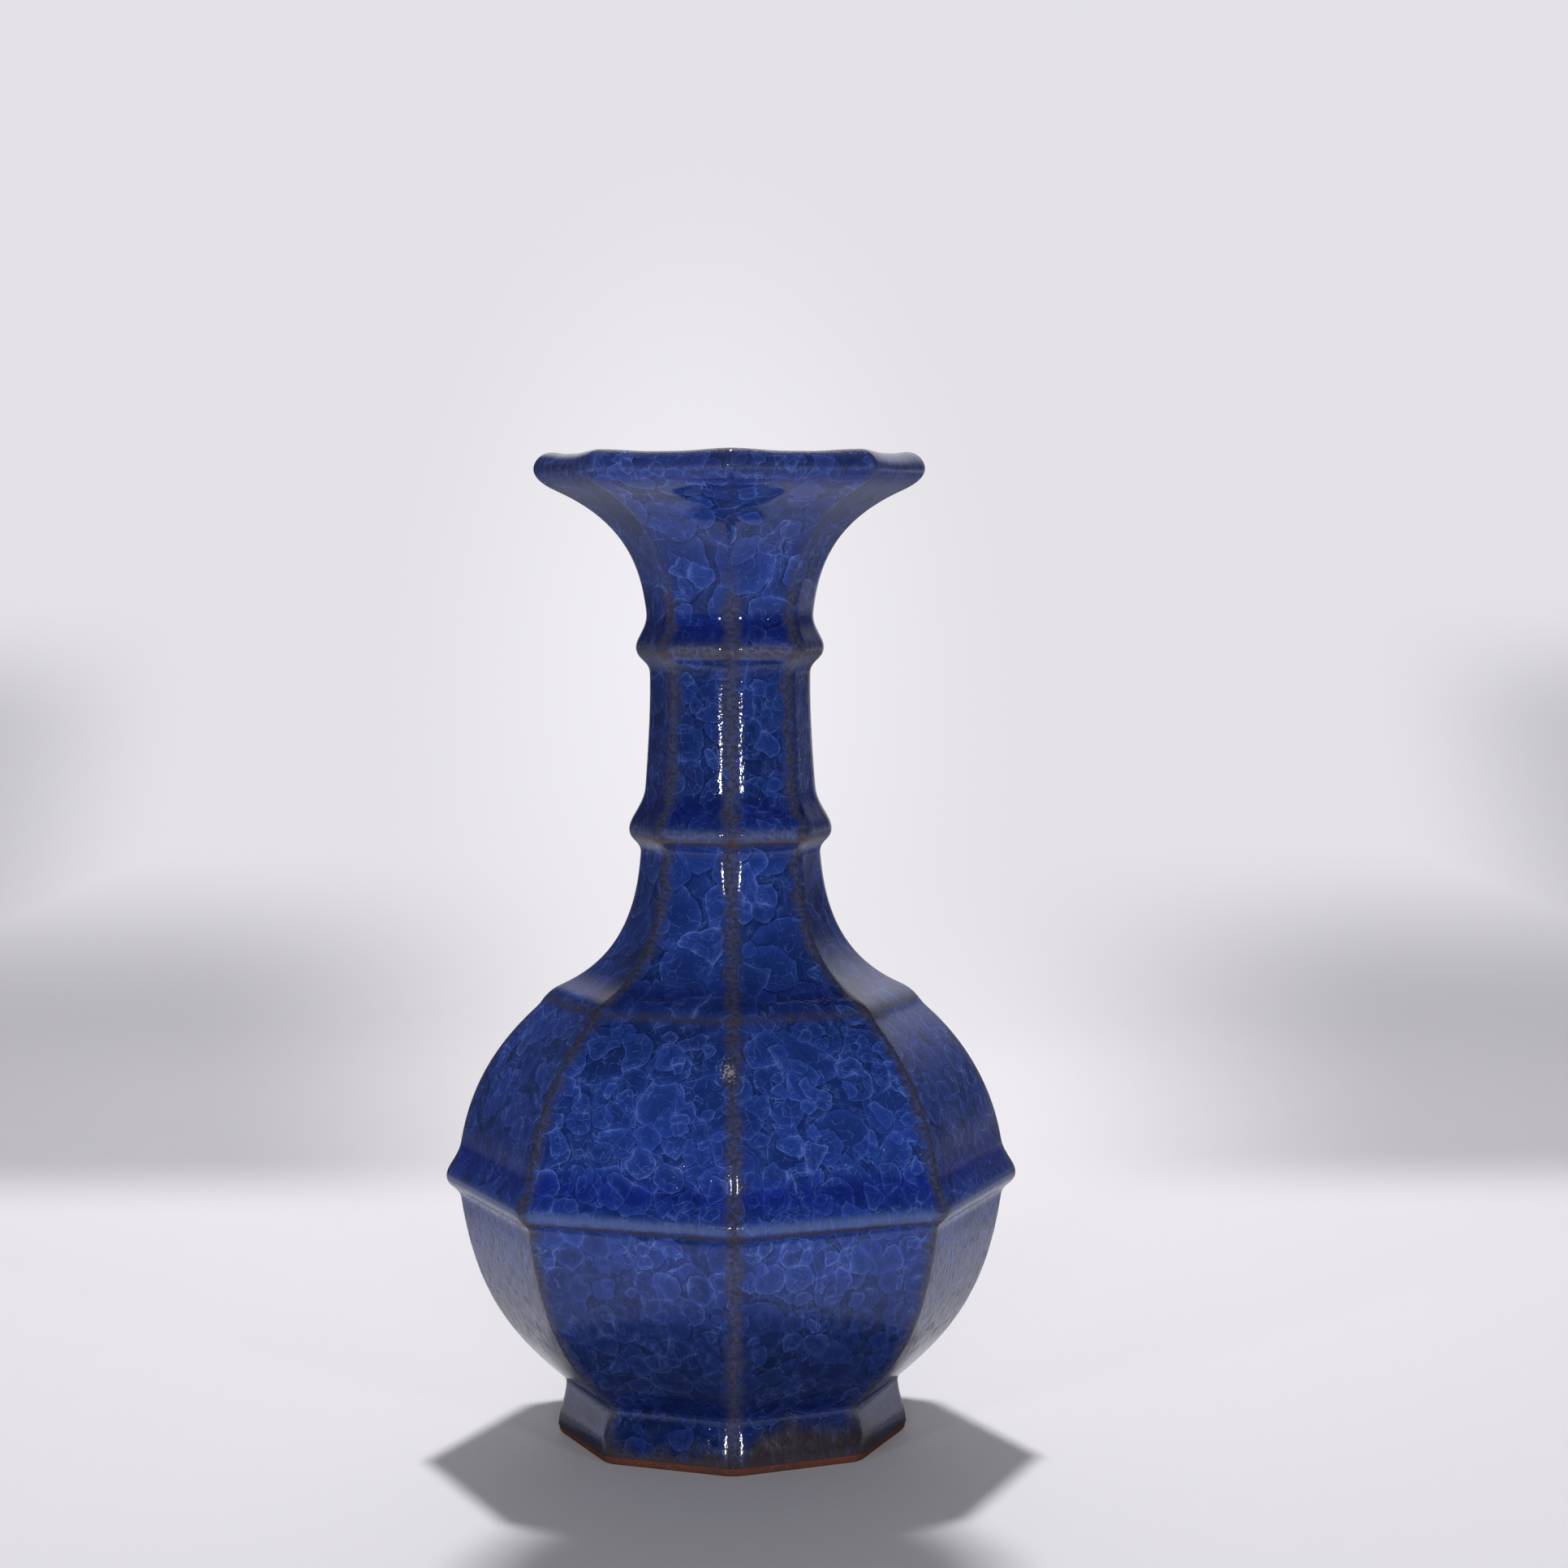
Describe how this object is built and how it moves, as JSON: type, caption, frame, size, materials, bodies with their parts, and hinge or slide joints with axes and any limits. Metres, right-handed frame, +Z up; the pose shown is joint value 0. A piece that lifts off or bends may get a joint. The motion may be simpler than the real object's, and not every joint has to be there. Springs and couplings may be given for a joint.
{
  "type": "bottle vase",
  "caption": "Panelled ceramic bottle vase with a globular belly, slender neck, flared mouth and raised fillets, coated in crackle glaze, for holding flowers.",
  "frame": {"origin": "on the vase's axis, in the plane that the foot stands on", "axes": "+Z up along the axis, from the foot to the mouth; -Y towards the front, where one rib faces; +X to the right of a person facing the front"},
  "size_m": [0.1748, 0.1748, 0.3],
  "materials": {
    "clay": "fired stoneware, bare and matte, red-brown",
    "crackle_glaze": "thick glossy cobalt glaze with pale layered crackle, thin and brown on the ribs"
  },
  "bodies": {
    "root": {"foot_ring": "clay", "base_floor": "clay", "lower_belly": "clay", "upper_belly": "clay", "shoulder": "clay", "neck": "clay", "mouth": "clay", "lip": "clay", "belly_fillet": "clay", "lower_neck_fillet": "clay", "upper_neck_fillet": "clay", "outer_glaze": "crackle_glaze", "inner_glaze": "crackle_glaze", "base_glaze": "crackle_glaze"}
  },
  "joints": []
}
